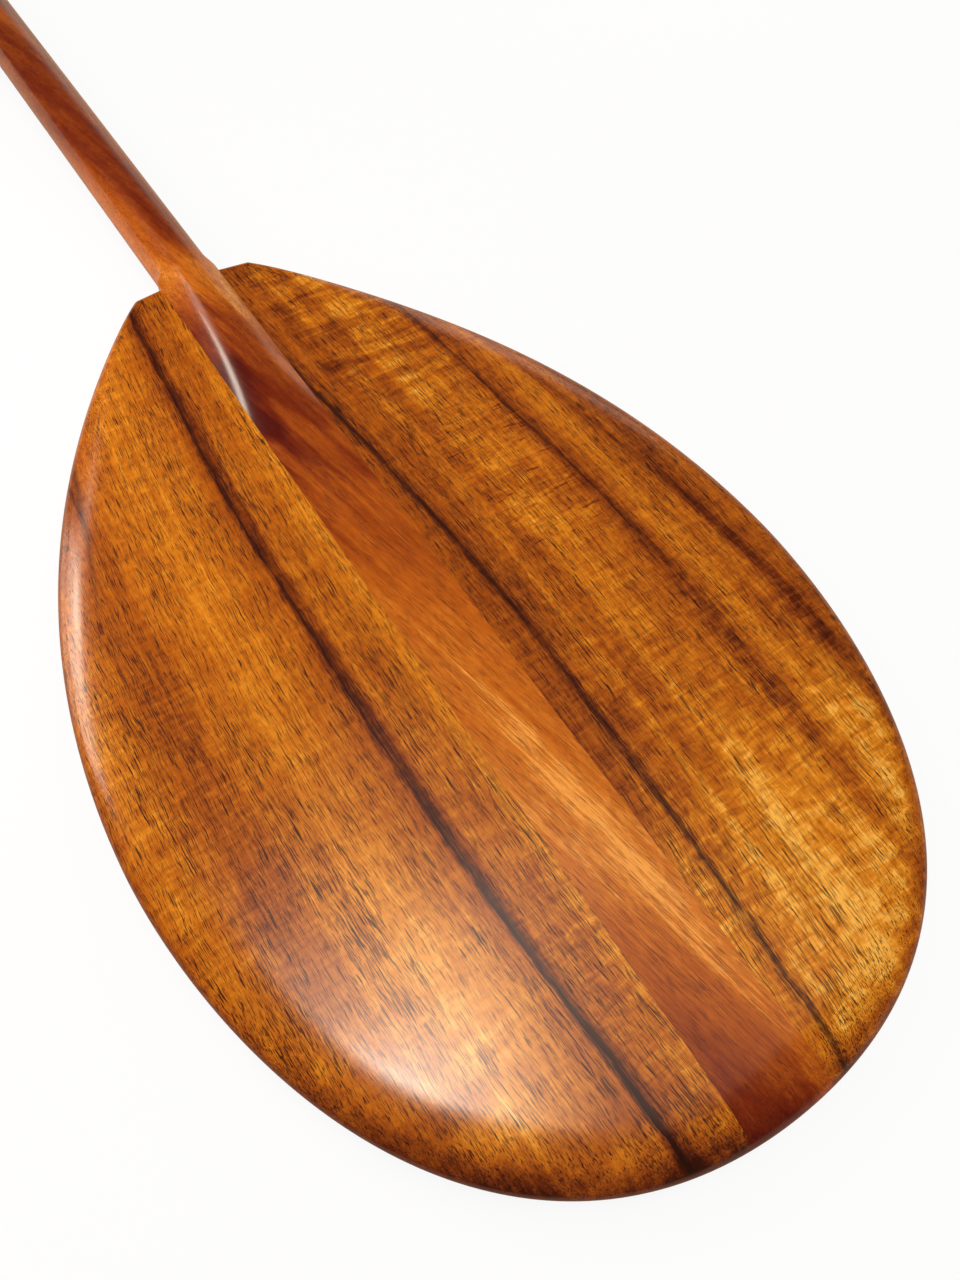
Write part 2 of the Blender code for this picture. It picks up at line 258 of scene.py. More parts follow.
def cut_with(piece, tool, operation="DIFFERENCE"):
    """Cut a piece with a tool, or join the two, and take the tool away."""
    modifier = piece.modifiers.new(tool.name, "BOOLEAN")
    modifier.operation = operation
    modifier.object = tool
    bpy.context.view_layer.objects.active = piece
    bpy.ops.object.modifier_apply(modifier=modifier.name)
    bpy.data.objects.remove(tool)


def hand_over(piece, node):
    """Clear a finished piece of slivers, shade it smooth, hang it on the body's root and hide its node's
    part.
    """
    bpy.ops.object.select_all(action="DESELECT")
    bpy.context.view_layer.objects.active = piece
    piece.select_set(True)
    bpy.ops.object.transform_apply(location=True, rotation=True, scale=True)
    bpy.ops.object.mode_set(mode="EDIT")
    bpy.ops.mesh.select_all(action="SELECT")
    bpy.ops.mesh.remove_doubles(threshold=MERGE_DISTANCE)
    bpy.ops.mesh.dissolve_degenerate(threshold=MERGE_DISTANCE)
    bpy.ops.object.mode_set(mode="OBJECT")
    bpy.ops.object.shade_smooth_by_angle(angle=SMOOTH_ANGLE)
    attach(piece, "root")
    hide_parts(node)


ALONG_X = (0.0, math.pi / 2.0, 0.0)
ALONG_Y = (math.pi / 2.0, 0.0, 0.0)
ALONG_Z = (0.0, 0.0, 0.0)
crossbar_centre = Vector((0.0, GRIP_STATION, 0.0))
tenon_end = GRIP_STATION - GRIP_RADIUS + TENON_DEPTH
tenon_length = TENON_DEPTH + TENON_ROOT
tenon_centre = Vector((0.0, tenon_end - tenon_length / 2.0, 0.0))

stave = grid_over("stave", stave_rows())
close_holes(stave)
seat_length = 2.0 * (SHAFT_RADIUS + CUTTER_OVERRUN)
cut_with(stave, rod("seat", GRIP_RADIUS + JOINT_GAP, seat_length, crossbar_centre, ALONG_X))
cut_with(stave, rod("tenon", TENON_RADIUS, tenon_length, tenon_centre, ALONG_Y), "UNION")
hole_length = 2.0 * (GRIP_RADIUS + CUTTER_OVERRUN)
cut_with(stave, rod("tenon_hole", PEG_RADIUS + JOINT_GAP, hole_length, crossbar_centre, ALONG_Z))


def set_sockets(tree, node, sockets):
    """Give each named socket a value, or a link from another node's socket."""
    for socket, value in sockets.items():
        if isinstance(value, bpy.types.NodeSocket):
            tree.links.new(value, node.inputs[socket])
        else:
            node.inputs[socket].default_value = value


def add_node(tree, kind, sockets=None, **settings):
    """Add a shader node with its settings and what goes into its sockets."""
    node = tree.nodes.new("ShaderNode" + kind)
    for setting, value in settings.items():
        setattr(node, setting, value)
    set_sockets(tree, node, sockets or {})
    return node


def calc(tree, operation, *values):
    """One sum on numbers that change over the surface."""
    return add_node(tree, "Math", dict(enumerate(values)), operation=operation).outputs[0]


def times(tree, first, second):
    """Two numbers or masks multiplied."""
    return calc(tree, "MULTIPLY", first, second)


def between(tree, value, low, high, at_low=0.0, at_high=1.0):
    """A number that eases from at_low to at_high as value goes from low to high."""
    sockets = {"Value": value, "From Min": low, "From Max": high, "To Min": at_low, "To Max": at_high}
    return add_node(tree, "MapRange", sockets, interpolation_type="SMOOTHSTEP").outputs["Result"]


def zone(tree, value, starts, full, fades, ends):
    """1 from full to fades, easing down to 0 at starts and at ends."""
    return times(tree, between(tree, value, starts, full), between(tree, value, ends, fades))


def noise(tree, vector, stretch, detail=2.0, roughness=0.5, distortion=0.0):
    """Even noise with this many waves a metre across, along and through the wood."""
    stretched = add_node(tree, "VectorMath", {0: vector, 1: stretch}, operation="MULTIPLY").outputs[0]
    sockets = {"Vector": stretched, "Scale": 1.0, "Detail": detail}
    sockets.update({"Roughness": roughness, "Distortion": distortion})
    return add_node(tree, "TexNoise", sockets).outputs["Fac"]


def vary(tree, value, wave, amount):
    """Add a share of a wave that swings about one half."""
    return calc(tree, "MULTIPLY_ADD", calc(tree, "SUBTRACT", wave, 0.5), amount, value)


def paler(tree, tone, mask, amount):
    """Raise the wood's tone by this much where the mask is 1."""
    return calc(tree, "MULTIPLY_ADD", mask, amount, tone)


def darker(tree, tone, mask, amount):
    """Lower the wood's tone by this much where the mask is 1."""
    return calc(tree, "MULTIPLY_ADD", mask, -amount, tone)


def hand_curve(tree, value, points):
    """A smooth curve drawn through a few given points, read at value."""
    node = add_node(tree, "FloatCurve", {"Value": value})
    line = node.mapping.curves[0]
    line.points[0].location = points[0]
    line.points[1].location = points[-1]
    for place in points[1:-1]:
        line.points.new(*place)
    node.mapping.update()
    return node.outputs[0]


def painted(red, green, blue):
    """A colour as seen on screen, from 0 to 255 each, as the shader takes it."""
    linear = []
    for level in (red / 255.0, green / 255.0, blue / 255.0):
        linear.append(((level + 0.055) / 1.055) ** 2.4 if level > 0.04045 else level / 12.92)
    return (*linear, 1.0)


def wood_tones(tree, value, stops):
    """Colours of the wood from its darkest to its palest tone."""
    node = add_node(tree, "ValToRGB", {"Fac": value})
    elements = node.color_ramp.elements
    for element, (position, color) in zip((elements[0], elements[1]), (stops[0], stops[-1])):
        element.position = position
        element.color = painted(*color)
    for position, color in stops[1:-1]:
        elements.new(position).color = painted(*color)
    return node.outputs["Color"]


def blended(tree, amount, first, second):
    """Mix two numbers by an amount from 0 to 1."""
    return add_node(tree, "Mix", {0: amount, 2: first, 3: second}).outputs[0]


def mixed(tree, amount, first, second):
    """Mix two colours by an amount from 0 to 1."""
    return add_node(tree, "Mix", {0: amount, 6: first, 7: second}, data_type="RGBA").outputs[2]


def new_group(name, inputs, outputs):
    """An empty node group with its named sockets, and the sockets inside it."""
    group = bpy.data.node_groups.new(name, "ShaderNodeTree")
    for socket, kind in inputs.items():
        group.interface.new_socket(socket, in_out="INPUT", socket_type="NodeSocket" + kind)
    for socket, kind in outputs.items():
        group.interface.new_socket(socket, in_out="OUTPUT", socket_type="NodeSocket" + kind)
    start = group.nodes.new("NodeGroupInput")
    end = group.nodes.new("NodeGroupOutput")
    return group, start.outputs, end.inputs


def use_group(tree, group, sockets):
    """Place a node group in a material with its own values."""
    node = tree.nodes.new("ShaderNodeGroup")
    node.node_tree = group
    set_sockets(tree, node, sockets)
    return node.outputs


PORE_PEAK = 0.75
CROWDING = 0.20
SMALL_PORE_EDGE = 0.08
LARGE_PORE_RISE = 0.07
LARGE_PORE_EDGE = 0.12
SMALL_PORE_DEPTH = 0.8


def make_pores_group():
    """Short dark dashes along the grain, crowded in some places, and the wood's fibres."""
    inputs = {"Grain": "Vector", "Amount": "Float"}
    tree, start, end = new_group("pores", inputs, {"Mask": "Float", "Fibre": "Float"})
    grain = start["Grain"]
    crowding = noise(tree, grain, (70.0, 14.0, 70.0), 2.0)
    fine = noise(tree, grain, (3200.0, 150.0, 3200.0), 1.0)
    coarse = noise(tree, grain, (2200.0, 85.0, 2200.0), 1.0)
    level = calc(tree, "SUBTRACT", PORE_PEAK, start["Amount"])
    level = calc(tree, "MULTIPLY_ADD", crowding, -CROWDING, level)
    small = between(tree, fine, level, calc(tree, "ADD", level, SMALL_PORE_EDGE))
    large_from = calc(tree, "ADD", level, LARGE_PORE_RISE)
    large = between(tree, coarse, large_from, calc(tree, "ADD", level, LARGE_PORE_EDGE))
    pores = calc(tree, "MAXIMUM", times(tree, small, SMALL_PORE_DEPTH), large)
    tree.links.new(pores, end["Mask"])
    hair = noise(tree, grain, (1700.0, 40.0, 1700.0), 2.0, 0.6)
    strand = noise(tree, grain, (330.0, 6.0, 330.0), 4.0, 0.7)
    fibre = calc(tree, "MULTIPLY_ADD", hair, 0.4, times(tree, strand, 0.6))
    tree.links.new(fibre, end["Fibre"])
    return tree


RIM_BEGINS = 0.985
SIDE_GRAIN = 0.25
FULL_END_GRAIN = 0.95


def make_edge_group():
    """How far a spot lies down the rounded edge, and how much it faces along the grain."""
    tree, start, end = new_group("edge_finish", {"Place": "Vector"}, {"Rim": "Float", "End grain": "Float"})
    height = add_node(tree, "SeparateXYZ", {0: start["Place"]}).outputs["Z"]
    depth = calc(tree, "DIVIDE", calc(tree, "ABSOLUTE", height), HALF_THICKNESS)
    tree.links.new(between(tree, depth, RIM_BEGINS, 0.0), end["Rim"])
    normal = add_node(tree, "NewGeometry").outputs["Normal"]
    facing = calc(tree, "ABSOLUTE", add_node(tree, "SeparateXYZ", {0: normal}).outputs["Y"])
    tree.links.new(between(tree, facing, SIDE_GRAIN, FULL_END_GRAIN), end["End grain"])
    return tree


pores_group = make_pores_group()
edge_group = make_edge_group()
VARNISH_COAT = 1.0
SMOOTH_VARNISH = 0.15
OPEN_GRAIN_VARNISH = 0.18
WOOD_SPECULAR = 0.1
WOOD_ROUGHNESS = 0.32
PORE_ROUGHNESS = 0.2
FIBRE_ROUGHNESS = 0.12
FIBRE_RELIEF = 0.35
RELIEF_DEPTH = 0.00005


def varnished(name, coat_roughness=SMOOTH_VARNISH):
    """A varnished wood to be filled in: its tree, its shader and the place counted from the tip."""
    material = bpy.data.materials.new(name)
    material.use_nodes = True
    tree = material.node_tree
    shader = tree.nodes["Principled BSDF"]
    shader.inputs["Coat Weight"].default_value = VARNISH_COAT
    shader.inputs["Coat Roughness"].default_value = coat_roughness
    shader.inputs["Specular IOR Level"].default_value = WOOD_SPECULAR
    coordinates = add_node(tree, "TexCoord").outputs["Object"]
    shift = {"Vector": coordinates, "Location": (0.0, -TIP_Y, -SHAFT_RADIUS)}
    place = add_node(tree, "Mapping", shift).outputs[0]
    return material, tree, shader, place


def finish_varnish(tree, shader, color, pores, fibre):
    """Feed the colour, the varnish's gloss and the grain's relief to the shader."""
    tree.links.new(color, shader.inputs["Base Color"])
    gloss = calc(tree, "MULTIPLY_ADD", pores, PORE_ROUGHNESS, WOOD_ROUGHNESS)
    tree.links.new(vary(tree, gloss, fibre, FIBRE_ROUGHNESS), shader.inputs["Roughness"])
    height = calc(tree, "MULTIPLY_ADD", fibre, FIBRE_RELIEF, times(tree, pores, -1.0))
    bump = add_node(tree, "Bump", {"Height": height, "Strength": 1.0, "Distance": RELIEF_DEPTH})
    tree.links.new(bump.outputs[0], shader.inputs["Normal"])


RED_WOOD_TONES = [
    (0.0, (84, 12, 1)),
    (0.25, (122, 40, 2)),
    (0.5, (160, 71, 5)),
    (0.7, (188, 94, 9)),
    (0.85, (209, 117, 24)),
    (1.0, (243, 160, 66)),
]
RED_WOOD_PORES = (70, 20, 6)
RED_WOOD_PORE_DEPTH = 0.6


def finish_red_wood(tree, shader, tone, pores):
    """Turn the tone into red hardwood with its pores, and varnish it."""
    color = wood_tones(tree, tone, RED_WOOD_TONES)
    pore_mask = times(tree, pores["Mask"], RED_WOOD_PORE_DEPTH)
    color = mixed(tree, pore_mask, color, painted(*RED_WOOD_PORES))
    finish_varnish(tree, shader, color, pores["Mask"], pores["Fibre"])


FIBRE_SLANT = 0.19
RIBBON_SLOPE = 1.4
RIBBON_SPAN = 0.75
RIBBON_TONES = [
    (0.0, 0.36),
    (0.035, 0.54),
    (0.067, 0.66),
    (0.11, 0.78),
    (0.16, 0.86),
    (0.22, 0.78),
    (0.30, 0.74),
    (0.35, 0.62),
    (0.39, 0.54),
    (0.41, 0.54),
    (0.445, 0.46),
    (0.465, 0.34),
    (0.50, 0.44),
    (0.52, 0.26),
    (0.555, 0.38),
    (0.605, 0.46),
    (0.66, 0.80),
    (0.75, 0.5),
    (1.0, 0.4),
]
SHAFT_CLIMB = 9.0
SHAFT_FROM = 0.40
SHAFT_SPAN = 0.40
SHAFT_TONES = [
    (0.0, 0.66),
    (0.15, 0.64),
    (0.25, 0.52),
    (0.325, 0.36),
    (0.40, 0.24),
    (0.50, 0.34),
    (0.60, 0.26),
    (0.72, 0.28),
    (0.80, 0.36),
    (1.0, 0.34),
]
SHAFT_RIBBONS_BEGIN = (0.50, 0.54)
PLAIN_SHAFT_BEGINS = (0.68, 0.80)
STAVE_PORES = 0.075
PALE_LEAN = 0.09
PALE_ACROSS = (0.003, 0.009, 0.014, 0.020)
PALE_ALONG = (0.245, 0.17)
NECK_ALONG = (0.31, 0.36, 0.44, 0.50)
NECK_TILT = 8.0
FLAMES_ALONG = (0.24, 0.32, 0.50, 0.56)
RED_PATCH_ACROSS = (-0.004, -0.010)
RED_PATCH_ALONG = (0.365, 0.380, 0.425, 0.440)
DARK_TIP_RIM = (0.06, 0.02)

red_wood, tree, shader, place = varnished("varnished_red_stave")
x, along, z = add_node(tree, "SeparateXYZ", {0: place}).outputs
slanted = calc(tree, "MULTIPLY_ADD", along, FIBRE_SLANT, x)
grain = add_node(tree, "CombineXYZ", {0: slanted, 1: along, 2: z}).outputs[0]

wander = noise(tree, grain, (45.0, 9.0, 45.0), 3.0, 0.55)
ribbon = vary(tree, calc(tree, "MULTIPLY_ADD", x, RIBBON_SLOPE, along), wander, 0.06)
blade_tone = hand_curve(tree, calc(tree, "DIVIDE", ribbon, RIBBON_SPAN), RIBBON_TONES)
climb = vary(tree, calc(tree, "MULTIPLY_ADD", x, SHAFT_CLIMB, along), wander, 0.10)
climbed = calc(tree, "DIVIDE", calc(tree, "SUBTRACT", climb, SHAFT_FROM), SHAFT_SPAN)
shaft_tone = hand_curve(tree, climbed, SHAFT_TONES)
plain = noise(tree, grain, (75.0, 2.6, 75.0), 3.0, 0.55)
plain_tone = calc(tree, "MULTIPLY_ADD", plain, 1.6, -0.45)
tone = blended(tree, between(tree, along, *SHAFT_RIBBONS_BEGIN), blade_tone, shaft_tone)
tone = blended(tree, between(tree, along, *PLAIN_SHAFT_BEGINS), tone, plain_tone)

pale_at = calc(tree, "MULTIPLY_ADD", along, PALE_LEAN, x)
pale = times(tree, zone(tree, pale_at, *PALE_ACROSS), between(tree, along, *PALE_ALONG))
streaks = noise(tree, grain, (700.0, 20.0, 700.0), 4.0, 0.7)
tone = paler(tree, tone, pale, calc(tree, "MULTIPLY_ADD", streaks, 0.9, -0.33))
tone = paler(tree, tone, zone(tree, along, *NECK_ALONG), times(tree, x, NECK_TILT))
flames = noise(tree, grain, (150.0, 9.0, 150.0), 3.0, 0.6)
flame_size = calc(tree, "MULTIPLY_ADD", zone(tree, along, *FLAMES_ALONG), 0.55, 0.25)
tone = vary(tree, tone, flames, flame_size)
red_patch = between(tree, x, *RED_PATCH_ACROSS)
red_patch = times(tree, red_patch, zone(tree, along, *RED_PATCH_ALONG))
tone = darker(tree, tone, red_patch, 0.28)

pores = use_group(tree, pores_group, {"Grain": grain, "Amount": STAVE_PORES})
tone = vary(tree, tone, pores["Fibre"], 0.62)
cross = noise(tree, grain, (190.0, 90.0, 190.0), 5.0, 0.75)
tone = vary(tree, tone, cross, 0.4)
edge = use_group(tree, edge_group, {"Place": place})
tip_rim = times(tree, edge["Rim"], between(tree, along, *DARK_TIP_RIM))
tone = darker(tree, tone, tip_rim, 0.3)
finish_red_wood(tree, shader, tone, pores)
stave.data.materials.append(red_wood)
hand_over(stave, "shaft_and_spine")


# The two blade boards are koa, one glued to each side of the spine and planed flush with it.
# Their edges are shaped round together after glueing, with a long easy round-over all the way
# round that gets short at the shoulders, and then all is varnished.
UPPER_FULLNESS = 0.176
CORNER_HALF_WIDTH = 0.0347
SHOULDER_DROP = 0.0022
CORNER_EASE = 0.0031
SHOULDER_ROUND_WIDTH = 0.005
ROUND_NARROWS_FROM = 0.400
FLAT_MARGIN = 0.0015
TIP_ROWS = 90
NECK_ROWS = 70
CORNER_ROWS = 10
SHOULDER_ROWS = 8


def glue_line_x(side, station):
    """Where a board's inner edge lies, close against the spine."""
    return spine_centre(station) + side * (spine_half_width(station) + JOINT_GAP)


def board_outline(side):
    """One board's outline as (point, round-over's width), from the tip to the shaft."""
    corner = Vector((CORNER_HALF_WIDTH, BLADE_LENGTH - SHOULDER_DROP))
    upper_handle = Vector((BLADE_HALF_WIDTH, WIDEST_STATION + UPPER_FULLNESS))
    shoulder_end = Vector((side * glue_line_x(side, BLADE_LENGTH), BLADE_LENGTH))
    before_corner = corner + CORNER_EASE * (upper_handle - corner).normalized()
    after_corner = corner + CORNER_EASE * (shoulder_end - corner).normalized()
    neck_curve = (tip_curve[3], upper_handle, before_corner, before_corner)
    corner_curve = (before_corner, corner, corner, after_corner)
    start = tip_curve_parameter(side * glue_line_x(side, 0.0))
    points = [cubic_point(tip_curve, lerp(start, 1.0, i / TIP_ROWS)) for i in range(TIP_ROWS)]
    points += [cubic_point(neck_curve, i / NECK_ROWS) for i in range(NECK_ROWS)]
    points += [cubic_point(corner_curve, i / CORNER_ROWS) for i in range(CORNER_ROWS)]
    points += [lerp(after_corner, shoulder_end, i / SHOULDER_ROWS) for i in range(SHOULDER_ROWS + 1)]
    narrowing = [eased(p.y, ROUND_NARROWS_FROM, before_corner.y) for p in points]
    return [(p, lerp(EDGE_ROUND_WIDTH, SHOULDER_ROUND_WIDTH, n)) for p, n in zip(points, narrowing)]


def rim_rows(side):
    """Rows of points over the rim, each from the upper face down over the edge to the lower face."""
    outline = board_outline(side)
    last = len(outline) - 1
    profile = []
    for step in range(-ROUND_ROWS, ROUND_ROWS + 1):
        angle = math.pi / 2.0 * step / ROUND_ROWS
        profile.append((1.0 - math.cos(angle), 0.0, -HALF_THICKNESS * math.sin(angle)))
    profile = [(1.0, FLAT_MARGIN, HALF_THICKNESS)] + profile + [(1.0, FLAT_MARGIN, -HALF_THICKNESS)]
    rows = []
    for i, (point, width) in enumerate(outline):
        before = outline[max(i - 1, 0)][0]
        after = outline[min(i + 1, last)][0]
        ahead = (after - before).normalized()
        inward = Vector((-ahead.y, ahead.x))
        row = []
        for share, margin, z in profile:
            inner = point + inward * (width * share + margin)
            x = glue_line_x(side, inner.y) if i in (0, last) else side * inner.x
            row.append(Vector((x, inner.y, z)))
        rows.append(row)
    return rows


def blade_board(name, side):
    """One board: a grid laid over its rim, then its two flat faces and its glued side closed."""
    rows = rim_rows(side)
    columns = len(rows[0])
    board = grid_over(name, rows)
    for flat_column in (0, columns - 1):
        bpy.ops.object.mode_set(mode="EDIT")
        bpy.ops.mesh.select_mode(type="VERT")
        bpy.ops.mesh.select_all(action="DESELECT")
        bpy.ops.object.mode_set(mode="OBJECT")
        for vertex in board.data.vertices:
            vertex.select = vertex.index % columns == flat_column
        bpy.ops.object.mode_set(mode="EDIT")
        bpy.ops.mesh.edge_face_add()
        bpy.ops.object.mode_set(mode="OBJECT")
    close_holes(board)
    return board


left_board = blade_board("left_board", -1)
right_board = blade_board("right_board", 1)

KOA_TONES = [
    (0.0, (60, 17, 0)),
    (0.18, (107, 40, 0)),
    (0.35, (148, 68, 0)),
    (0.5, (176, 88, 1)),
    (0.65, (199, 111, 4)),
    (0.8, (223, 137, 18)),
    (1.0, (251, 182, 72)),
]
HEARTWOOD = (38, 12, 6)
KOA_PORES = (52, 15, 0)
KOA_PORE_DEPTH = 0.92
RIM_BROWN = (84, 20, 4)
RIM_BROWN_DEPTH = 0.7
RIM_BROWN_FROM = (0.6, 1.0)
LOW_RIM_FROM = (0.0, 0.3)
LOW_RIM_ALONG = (0.16, 0.05)
GRAIN_BOW = 0.015
BOW_CENTRE = 0.22
BOW_REACH = 0.28
BOARD_SPAN = 0.165
WIDE_WANDER = 0.004
CLOSE_WANDER = 0.0016
STREAK_FEATHER = 0.0036
PATCH_CORE = 0.25
BROAD_CURL = (0.32, 0.66)


def make_bow_group():
    """Grain that bows outwards along the blade: distance across it, along it and through it."""
    tree, start, end = new_group("bowed_grain", {"Place": "Vector", "Side": "Float"}, {"Grain": "Vector"})
    x, along, z = add_node(tree, "SeparateXYZ", {0: start["Place"]}).outputs
    outwards = times(tree, x, start["Side"])
    reach = calc(tree, "DIVIDE", calc(tree, "SUBTRACT", along, BOW_CENTRE), BOW_REACH)
    bow = calc(tree, "MULTIPLY_ADD", times(tree, reach, reach), -GRAIN_BOW, GRAIN_BOW)
    straight = calc(tree, "SUBTRACT", outwards, bow)
    wide = noise(tree, start["Place"], (30.0, 14.0, 30.0), 2.0)
    close = noise(tree, start["Place"], (60.0, 75.0, 60.0), 2.0)
    across = vary(tree, vary(tree, straight, wide, WIDE_WANDER), close, CLOSE_WANDER)
    grain = add_node(tree, "CombineXYZ", {0: across, 1: along, 2: z})
    tree.links.new(grain.outputs[0], end["Grain"])
    return tree


def make_streak_group():
    """A dark heartwood streak that follows the grain, with its own softness on each side."""
    inputs = {"Grain": "Vector", "At": "Float", "Inside": "Float", "Outside": "Float"}
    tree, start, end = new_group("heartwood_streak", inputs, {"Mask": "Float"})
    across = add_node(tree, "SeparateXYZ", {0: start["Grain"]}).outputs["X"]
    feather = noise(tree, start["Grain"], (1300.0, 55.0, 300.0), 3.0, 0.6)
    off = vary(tree, calc(tree, "SUBTRACT", across, start["At"]), feather, STREAK_FEATHER)
    inner = between(tree, off, times(tree, start["Inside"], -1.0), 0.0)
    outer = between(tree, off, start["Outside"], 0.0)
    tree.links.new(times(tree, inner, outer), end["Mask"])
    return tree


def make_patch_group():
    """A soft oval patch on the grain."""
    inputs = {"Grain": "Vector", "Centre": "Vector", "Size": "Vector"}
    tree, start, end = new_group("soft_patch", inputs, {"Mask": "Float"})
    off = start["Grain"]
    steps = [("SUBTRACT", start["Centre"]), ("DIVIDE", start["Size"]), ("MULTIPLY", (1.0, 1.0, 0.0))]
    for operation, value in steps:
        off = add_node(tree, "VectorMath", {0: off, 1: value}, operation=operation).outputs[0]
    far = add_node(tree, "VectorMath", {0: off}, operation="LENGTH").outputs["Value"]
    tree.links.new(between(tree, far, 1.0, PATCH_CORE), end["Mask"])
    return tree


def make_curl_group():
    """Curly figure: soft dark and light bars that cross the grain."""
    tree, start, end = new_group("curly_figure", {"Grain": "Vector"}, {"Broad": "Float", "Close": "Float"})
    bars = noise(tree, start["Grain"], (30.0, 125.0, 60.0), 5.0, 0.65, 0.6)
    tree.links.new(between(tree, bars, *BROAD_CURL), end["Broad"])
    close = noise(tree, start["Grain"], (70.0, 260.0, 120.0), 3.0, 0.6, 0.8)
    tree.links.new(close, end["Close"])
    return tree


bow_group = make_bow_group()
streak_group = make_streak_group()
patch_group = make_patch_group()
curl_group = make_curl_group()


def streak(tree, grain, at, inside, outside):
    """Mask of one heartwood streak, this far out from the spine and this soft on each side."""
    sockets = {"Grain": grain, "At": at, "Inside": inside, "Outside": outside}
    return use_group(tree, streak_group, sockets)["Mask"]


def patch(tree, grain, centre, size):
    """Mask of one soft patch."""
    sockets = {"Grain": grain, "Centre": (*centre, 0.0), "Size": (*size, 1.0)}
    return use_group(tree, patch_group, sockets)["Mask"]


def breaks(tree, grain, low, high, faint, full):
    """How dark a streak is along its way, where the heartwood thins out and comes back."""
    wave = noise(tree, grain, (60.0, 45.0, 60.0), 3.0, 0.6)
    return between(tree, wave, low, high, faint, full)


def koa(name, side, bands):
    """Koa with its growth bands: the material's parts, ready for one board's own figure."""
    material, tree, shader, place = varnished(name, OPEN_GRAIN_VARNISH)
    grain = use_group(tree, bow_group, {"Place": place, "Side": float(side)})["Grain"]
    across, along, _ = add_node(tree, "SeparateXYZ", {0: grain}).outputs
    spread = noise(tree, grain, (140.0, 3.0, 60.0), 2.0)
    band_at = vary(tree, calc(tree, "DIVIDE", across, BOARD_SPAN), spread, 0.03)
    tone = hand_curve(tree, band_at, bands)
    return material, tree, shader, place, grain, across, along, tone


def finish_koa(tree, shader, place, grain, tone, dark, pore_amount):
    """Fibres, strips, mottle, the darker rim, heartwood and pores, and then the varnish."""
    wood = use_group(tree, pores_group, {"Grain": grain, "Amount": pore_amount})
    tone = vary(tree, tone, wood["Fibre"], 0.62)
    strips = noise(tree, grain, (110.0, 3.0, 60.0), 3.0, 0.6)
    tone = vary(tree, tone, strips, 0.24)
    mottle = noise(tree, grain, (230.0, 150.0, 230.0), 6.0, 0.8)
    tone = vary(tree, tone, mottle, 0.48)
    lines = noise(tree, grain, (850.0, 16.0, 300.0), 4.0, 0.65)
    tone = vary(tree, tone, lines, 0.42)
    edge = use_group(tree, edge_group, {"Place": place})
    tone = darker(tree, tone, edge["Rim"], 0.2)
    along = add_node(tree, "SeparateXYZ", {0: grain}).outputs["Y"]
    low_rim = between(tree, edge["Rim"], *LOW_RIM_FROM)
    low_rim = times(tree, low_rim, between(tree, along, *LOW_RIM_ALONG))
    tone = darker(tree, tone, low_rim, 0.22)
    tone = darker(tree, tone, edge["End grain"], 0.12)
    color = wood_tones(tree, tone, KOA_TONES)
    color = mixed(tree, dark, color, painted(*HEARTWOOD))
    color = mixed(tree, times(tree, wood["Mask"], KOA_PORE_DEPTH), color, painted(*KOA_PORES))
    rim_line = between(tree, edge["Rim"], *RIM_BROWN_FROM)
    color = mixed(tree, times(tree, rim_line, RIM_BROWN_DEPTH), color, painted(*RIM_BROWN))
    finish_varnish(tree, shader, color, wood["Mask"], wood["Fibre"])


# The left board is straight grained and golden, with one long heartwood streak between its
# spine side and its middle, a broad brown band further out and fine ripples across the grain.
LEFT_BANDS = [
    (0.0, 0.52),
    (0.065, 0.70),
    (0.12, 0.56),
    (0.19, 0.54),
    (0.225, 0.44),
    (0.265, 0.50),
    (0.33, 0.61),
    (0.38, 0.65),
    (0.45, 0.69),
    (0.51, 0.60),
    (0.58, 0.58),
    (0.61, 0.44),
    (0.67, 0.44),
    (0.73, 0.52),
    (0.79, 0.64),
    (0.83, 0.66),
    (1.0, 0.50),
]
RIPPLES_ACROSS = (-0.026, -0.020, 0.034, 0.040)
RIPPLES_ALONG = (0.22, 0.08)
FLECKS_ACROSS = (0.090, 0.100, 0.142, 0.152)
FLECKS_ALONG = (0.12, 0.15, 0.27, 0.30)
MAIN_STREAK = (0.0402, 0.0013, 0.0008)
MAIN_STREAK_BREAKS = (0.30, 0.55, 0.45, 0.95)
MAIN_STREAK_SHADE = (0.0398, 0.0062, 0.0036)
WIDE_STREAK = (0.0400, 0.0032, 0.0014)
WIDE_STREAK_ALONG = (0.20, 0.10)
EDGE_STREAK_SLOPE = -0.19
EDGE_STREAK_FOOT = 0.1757
EDGE_STREAK_SOFT = (0.004, 0.002)
EDGE_STREAK_ALONG = (0.31, 0.37)
SECOND_STREAK_DRIFT = (0.30, 0.46, 0.0362, 0.0317)
SECOND_STREAK_SOFT = (0.0022, 0.0020)
SECOND_STREAK_ALONG = (0.26, 0.30, 0.51, 0.55)
THIN_STREAK = (0.1045, 0.0012, 0.0008)
THIN_STREAK_ALONG = (0.19, 0.24)
PAINTED_SHEEN_PATCH = ((0.080, 0.095), (0.070, 0.100))
DARK_PATCH = ((0.092, 0.066), (0.024, 0.010))
TIP_PATCH = ((0.078, 0.034), (0.042, 0.018))
LEFT_PORES = (0.30, 0.10, 0.084, 0.099)

left_koa, tree, shader, place, grain, across, along, tone = koa("varnished_left_koa", -1, LEFT_BANDS)
curl = use_group(tree, curl_group, {"Grain": grain})
by_spine = times(tree, zone(tree, across, *RIPPLES_ACROSS), between(tree, along, *RIPPLES_ALONG))
ripples = calc(tree, "ADD", by_spine, 0.25)
tone = paler(tree, tone, ripples, calc(tree, "MULTIPLY_ADD", curl["Close"], 0.5, -0.25))
tone = vary(tree, tone, curl["Broad"], 0.1)

